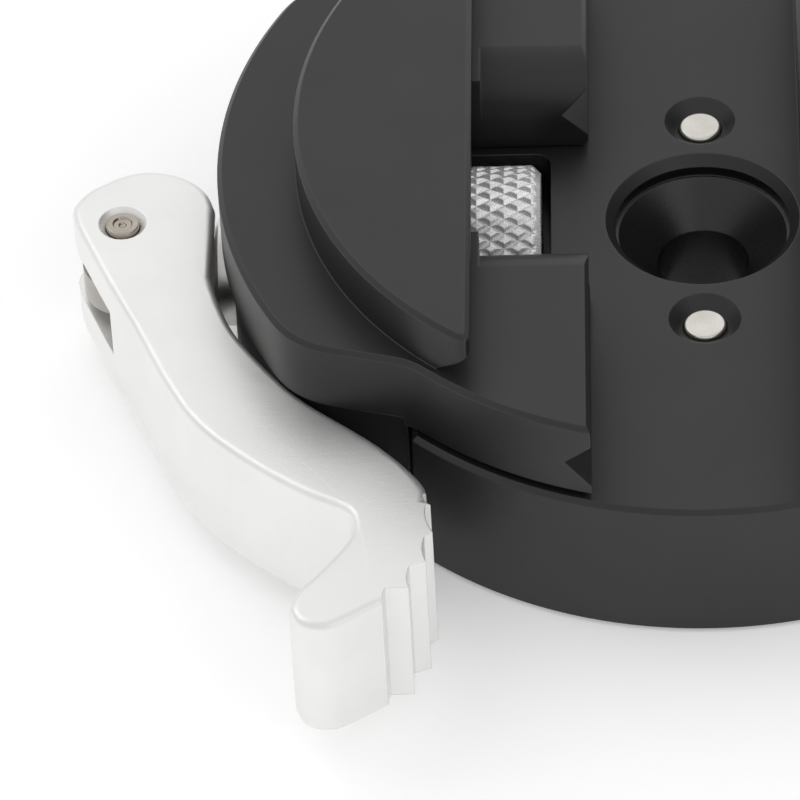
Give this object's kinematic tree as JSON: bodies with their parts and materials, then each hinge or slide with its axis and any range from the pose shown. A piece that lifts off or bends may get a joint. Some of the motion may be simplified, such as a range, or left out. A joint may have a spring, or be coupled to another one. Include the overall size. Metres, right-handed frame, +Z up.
{
  "type": "lever clamp for dovetail camera plates",
  "caption": "Round lever clamp: disc base with a fixed stepped dovetail jaw, sliding jaw, cam lever, draw rod and knurled adjusting nut.",
  "frame": {"origin": "middle of the closed clamp's footprint, on the surface under its base", "axes": "+Z up out of the clamp's floor, +X from the lever side to the fixed jaw along the jaw's travel, +Y along the jaws away from the lever's hook"},
  "size_m": [0.075, 0.071, 0.0222],
  "materials": {
    "black_anodised": "fine blasted black anodising, bare bright line on broken edges",
    "satin_silver": "fine blasted clear anodising",
    "pin_steel": "turned steel end face",
    "rod_steel": "ground steel",
    "knurled_steel": "bright diamond knurl",
    "disc_steel": "ground hard steel",
    "bronze": "oiled bearing bronze",
    "spring_steel": "drawn wire",
    "acetal": "natural acetal"
  },
  "bodies": {
    "base": {"base_body": "black_anodised", "nut_washer": "rod_steel", "guide_rod_front": "rod_steel", "guide_rod_back": "rod_steel", "lock_pin_front": "pin_steel", "lock_pin_back": "pin_steel", "return_spring_front": "spring_steel", "return_spring_back": "spring_steel"},
    "nut": {"adjusting_nut": "knurled_steel"},
    "draw_rod": {"draw_rod": "rod_steel", "eye_spacer_lower": "acetal", "eye_spacer_upper": "acetal"},
    "lever": {"cam_lever": "satin_silver", "lever_pivot_pin": "pin_steel"},
    "jaw": {"movable_jaw": "black_anodised", "guide_bush_front": "bronze", "guide_bush_back": "bronze", "cam_wear_disc": "disc_steel"}
  },
  "joints": [
    {"name": "nut_turn", "type": "hinge", "parent": "base", "child": "nut", "pos_m": [-0.00677, 0.00548, 0.0075], "axis": [1, 0, 0], "range_deg": [0, 1081]},
    {"name": "rod_slide", "type": "slide", "parent": "base", "child": "draw_rod", "axis": [1, 0, 0], "range_m": [-0.0024, 0], "deforming": ["return_spring_front", "return_spring_back"]},
    {"name": "lever_swing", "type": "hinge", "parent": "draw_rod", "child": "lever", "pos_m": [-0.03387, 0.00548, 0.0075], "axis": [0, 0, 1], "range_deg": [-110.2, 0]},
    {"name": "jaw_slide", "type": "slide", "parent": "draw_rod", "child": "jaw", "axis": [1, 0, 0], "range_m": [-0.0015, 0]}
  ],
  "couplings": [
    {"joint": "nut_turn", "follows": "rod_slide", "rad_per_m": -7854},
    {"joint": "lever_swing", "follows": "jaw_slide", "rad_per_m": 1279.9}
  ]
}
